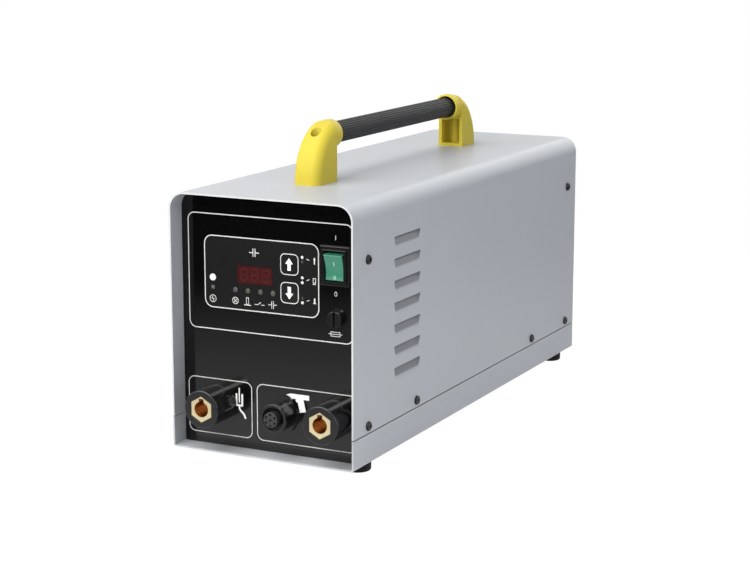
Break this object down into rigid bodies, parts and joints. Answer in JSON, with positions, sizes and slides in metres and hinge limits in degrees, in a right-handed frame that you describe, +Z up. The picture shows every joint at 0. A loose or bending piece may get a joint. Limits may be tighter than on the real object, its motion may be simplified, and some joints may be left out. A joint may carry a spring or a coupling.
{
  "type": "stud welding power unit",
  "caption": "Portable capacitor-discharge stud-welding power unit: folded sheet-metal case with a bar handle, recessed keypad panel, welding sockets, mains switch and a rear fan.",
  "frame": {"origin": "on the floor under the middle of the unit, taken over its whole length with the sockets", "axes": "+X to the right seen from the front, +Y from the front panel to the rear, +Z up"},
  "size_m": [0.1744, 0.503, 0.2765],
  "materials": {
    "case_paint": "light grey powder coat, fine grain",
    "panel_film": "glossy black printed film",
    "black_screws": "black oxide steel",
    "foot_rubber": "matt black rubber",
    "yellow_plastic": "yellow moulding, light sheen",
    "grip_plastic": "dark fluted tube",
    "zinc_steel": "zinc-plated steel",
    "black_plastic": "black moulding",
    "rocker_green": "translucent green moulding",
    "fuse_glass": "clear tube",
    "key_film": "black keys with printed arrows",
    "display_red": "dark red tinted window",
    "lamp_white": "white diffused lens",
    "lamp_grey": "dull unlit lenses",
    "board_laminate": "green circuit board",
    "socket_black": "black moulding, light sheen",
    "socket_brass": "turned brass",
    "guard_chrome": "plated wire",
    "seat_laminate": "brown laminate",
    "capacitor_sleeve": "dark blue sleeve",
    "copper_bar": "bare copper bar",
    "heatsink_aluminium": "extruded aluminium",
    "module_plastic": "dark grey moulding",
    "lead_rubber": "black insulated lead",
    "winding_tape": "wound core under yellow tape"
  },
  "bodies": {
    "unit": {"base_tray": "case_paint", "hood": "case_paint", "front_panel": "case_paint", "rear_panel": "case_paint", "side_rails": "case_paint", "front_film": "panel_film", "hood_screws": "black_screws", "rear_screws": "black_screws", "foot_screws": "black_screws", "handle_screws": "black_screws", "foot_front_left": "foot_rubber", "foot_front_right": "foot_rubber", "foot_rear_left": "foot_rubber", "foot_rear_right": "foot_rubber", "handle_bracket_front": "yellow_plastic", "handle_bracket_rear": "yellow_plastic", "handle_grip": "grip_plastic", "handle_nuts": "zinc_steel", "spade_tabs": "zinc_steel", "busbar_screws": "zinc_steel", "transformer_clamp": "zinc_steel", "board_standoffs": "zinc_steel", "inlet_pins": "zinc_steel", "switch_housing": "black_plastic", "fuse_holder": "black_plastic", "fuse_nut": "black_plastic", "key_switches": "black_plastic", "display_module": "black_plastic", "fan_frame": "black_plastic", "mains_inlet": "black_plastic", "display_window": "display_red", "led_ready": "lamp_white", "led_row": "lamp_grey", "display_board": "board_laminate", "control_board": "board_laminate", "weld_socket_left": "socket_black", "weld_socket_right": "socket_black", "control_socket": "socket_black", "control_insert": "socket_black", "weld_insert_left": "socket_brass", "weld_insert_right": "socket_brass", "control_contacts": "socket_brass", "socket_nuts": "socket_brass", "fan_guard": "guard_chrome", "capacitor_tray": "seat_laminate", "capacitors": "capacitor_sleeve", "busbar_positive": "copper_bar", "busbar_negative": "copper_bar", "heatsink": "heatsink_aluminium", "thyristor": "module_plastic", "weld_lead_left": "lead_rubber", "weld_lead_right": "lead_rubber", "transformer": "winding_tape"},
    "rocker": {"switch_rocker": "rocker_green"},
    "key_up": {"key_up": "key_film"},
    "key_down": {"key_down": "key_film"},
    "fuse": {"fuse_glass": "fuse_glass", "fuse_ends": "zinc_steel"},
    "fuse_cap": {"fuse_cap": "black_plastic"},
    "fan_rotor": {"fan_rotor": "black_plastic"}
  },
  "joints": [
    {"name": "rocker_tilt", "type": "hinge", "parent": "unit", "child": "rocker", "pos_m": [0.0607, -0.2185, 0.1725], "axis": [-1, 0, 0], "range_deg": [0, 20]},
    {"name": "key_up_press", "type": "slide", "parent": "unit", "child": "key_up", "axis": [0, 1, 0], "range_m": [0, 0.0006], "stiffness_N_per_m": 1500},
    {"name": "key_down_press", "type": "slide", "parent": "unit", "child": "key_down", "axis": [0, 1, 0], "range_m": [0, 0.0006], "stiffness_N_per_m": 1500},
    {"name": "fuse_pull", "type": "slide", "parent": "unit", "child": "fuse", "axis": [0, -1, 0], "range_m": [0, 0.03]},
    {"name": "fuse_cap_turn", "type": "hinge", "parent": "fuse", "child": "fuse_cap", "pos_m": [0.0617, -0.227, 0.1297], "axis": [0, -1, 0], "range_deg": [0, 90]},
    {"name": "fan_spin", "type": "hinge", "parent": "unit", "child": "fan_rotor", "pos_m": [0, 0.2225, 0.1382], "axis": [0, 1, 0], "continuous": true}
  ]
}
